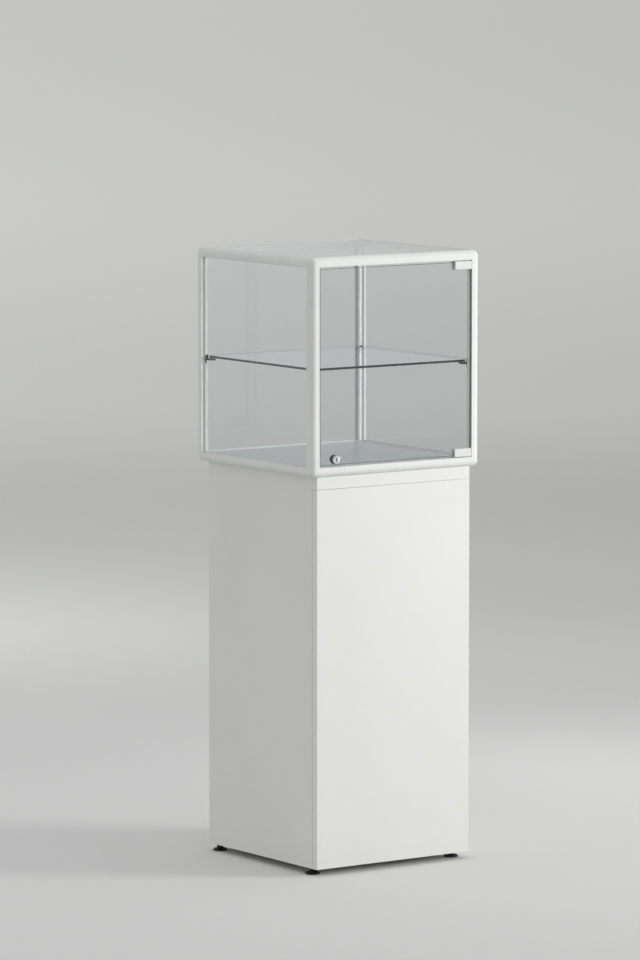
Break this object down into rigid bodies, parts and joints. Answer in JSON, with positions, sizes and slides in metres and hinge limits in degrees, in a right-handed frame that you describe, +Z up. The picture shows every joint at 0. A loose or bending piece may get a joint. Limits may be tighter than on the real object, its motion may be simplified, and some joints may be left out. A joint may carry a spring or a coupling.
{
  "type": "pedestal display case",
  "caption": "White-framed glass display case with a locking glass door and a glass shelf, on a white storage plinth with an overlay door and levelling feet.",
  "frame": {"origin": "on the floor, under the centre of the square case", "axes": "+Z up, both doors face -Y, hinges towards +X"},
  "size_m": [0.45, 0.454, 1.354],
  "materials": {
    "frame_white": "satin powder coat",
    "float_glass": "clear, polished edges",
    "seal_rubber": "matt",
    "board_white": "satin white lacquer on board",
    "floor_grey": "satin grey melamine on board",
    "clamp_white": "satin",
    "steel": "satin",
    "bush_plastic": "matt",
    "lock_chrome": "polished",
    "nut_dark": "satin",
    "stop_clear": "matt",
    "support_grey": "satin anodised",
    "latch_grey": "matt",
    "tip_dark": "matt",
    "dowel_beech": "raw",
    "foot_black": "matt"
  },
  "bodies": {
    "base": {"post_front_left": "frame_white", "post_front_right": "frame_white", "post_rear_left": "frame_white", "post_rear_right": "frame_white", "rail_bottom_front": "frame_white", "rail_bottom_rear": "frame_white", "rail_bottom_left": "frame_white", "rail_bottom_right": "frame_white", "rail_top_front": "frame_white", "rail_top_rear": "frame_white", "rail_top_left": "frame_white", "rail_top_right": "frame_white", "corner_connectors_top": "frame_white", "corner_connectors_bottom": "frame_white", "pane_left": "float_glass", "pane_right": "float_glass", "pane_rear": "float_glass", "pane_top": "float_glass", "seal_left": "seal_rubber", "seal_right": "seal_rubber", "seal_rear": "seal_rubber", "seal_top": "seal_rubber", "case_floor": "floor_grey", "hinge_bushes": "bush_plastic", "door_stops": "stop_clear", "shelf_supports": "support_grey", "shelf_pads": "seal_rubber", "shelf_support_screws": "steel", "plinth_side_left": "board_white", "plinth_side_right": "board_white", "plinth_back": "board_white", "plinth_top": "board_white", "plinth_bottom": "board_white", "plinth_strip": "board_white", "front_pivot_plate": "steel", "front_pivot_screws": "steel", "latch_housing": "latch_grey", "carcass_dowels": "dowel_beech", "case_screws": "steel", "foot_inserts": "steel"},
    "glass_door": {"door_glass": "float_glass", "hinge_clamp_upper": "clamp_white", "hinge_clamp_lower": "clamp_white", "hinge_pads": "seal_rubber", "hinge_grub_screws": "steel", "hinge_pins": "steel", "lock_housing": "lock_chrome", "lock_nut": "nut_dark"},
    "lock": {"lock_plug": "lock_chrome", "lock_cam": "steel", "lock_cam_screw": "steel"},
    "plinth_door": {"plinth_door": "board_white", "front_pivot_pin": "steel"},
    "latch": {"latch_plunger": "tip_dark"},
    "shelf": {"glass_shelf": "float_glass"},
    "foot_front_left": {"foot_front_left": "foot_black"},
    "foot_front_right": {"foot_front_right": "foot_black"},
    "foot_rear_left": {"foot_rear_left": "foot_black"},
    "foot_rear_right": {"foot_rear_right": "foot_black"}
  },
  "joints": [
    {"name": "glass_door_hinge", "type": "hinge", "parent": "base", "child": "glass_door", "pos_m": [0.192, -0.2205, 1.1155], "axis": [0, 0, 1], "range_deg": [0, 110]},
    {"name": "lock_turn", "type": "hinge", "parent": "glass_door", "child": "lock", "pos_m": [-0.1605, -0.2205, 0.914], "axis": [0, 1, 0], "range_deg": [0, 90]},
    {"name": "plinth_door_hinge", "type": "hinge", "parent": "base", "child": "plinth_door", "pos_m": [0.2, -0.211, 0.43], "axis": [0, 0, 1], "range_deg": [0, 95]},
    {"name": "latch_press", "type": "slide", "parent": "base", "child": "latch", "axis": [0, 1, 0], "range_m": [0, 0.003], "stiffness_N_per_m": 400, "springref_m": -0.004},
    {"name": "shelf_lift", "type": "slide", "parent": "base", "child": "shelf", "axis": [0, 0, 1], "range_m": [0, 0.04]},
    {"name": "foot_front_left_adjust", "type": "slide", "parent": "base", "child": "foot_front_left", "axis": [0, 0, 1], "range_m": [-0.01, 0.0025]},
    {"name": "foot_front_right_adjust", "type": "slide", "parent": "base", "child": "foot_front_right", "axis": [0, 0, 1], "range_m": [-0.01, 0.0025]},
    {"name": "foot_rear_left_adjust", "type": "slide", "parent": "base", "child": "foot_rear_left", "axis": [0, 0, 1], "range_m": [-0.01, 0.0025]},
    {"name": "foot_rear_right_adjust", "type": "slide", "parent": "base", "child": "foot_rear_right", "axis": [0, 0, 1], "range_m": [-0.01, 0.0025]}
  ]
}
